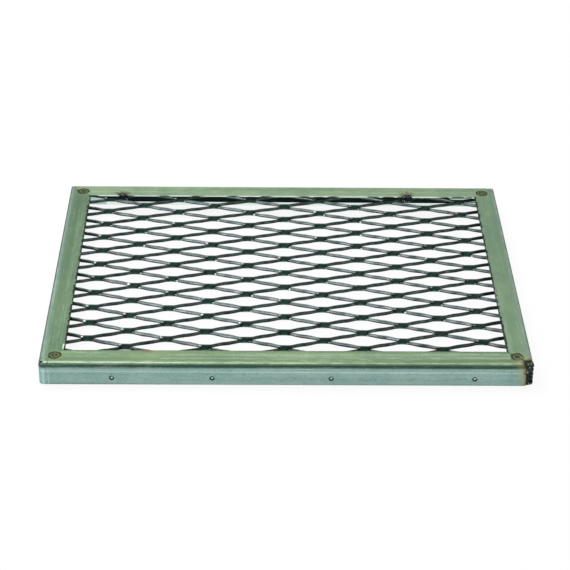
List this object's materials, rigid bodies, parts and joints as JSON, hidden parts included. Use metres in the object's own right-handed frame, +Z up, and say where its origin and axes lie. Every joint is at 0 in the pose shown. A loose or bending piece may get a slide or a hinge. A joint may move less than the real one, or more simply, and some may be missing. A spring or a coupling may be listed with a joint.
{
  "type": "expanded metal grating panel",
  "caption": "Rectangular panel of raised expanded steel mesh welded under the flange of a shallow folded sheet-steel angle frame.",
  "frame": {"origin": "middle of the panel's footprint, on the floor its skirt stands on", "axes": "+X to the right along the long side, +Y to the rear, +Z up"},
  "size_m": [0.38, 0.29, 0.019],
  "materials": {
    "frame_steel": "dull rolled sheet, slightly green-grey",
    "mesh_steel": "dark mill scale",
    "bar_steel": "dark mill scale",
    "weld_metal": "burnt black weld bead"
  },
  "bodies": {
    "root": {"angle_frame": "frame_steel", "expanded_mesh": "mesh_steel", "rear_bar": "bar_steel", "corner_weld": "weld_metal"}
  },
  "joints": []
}
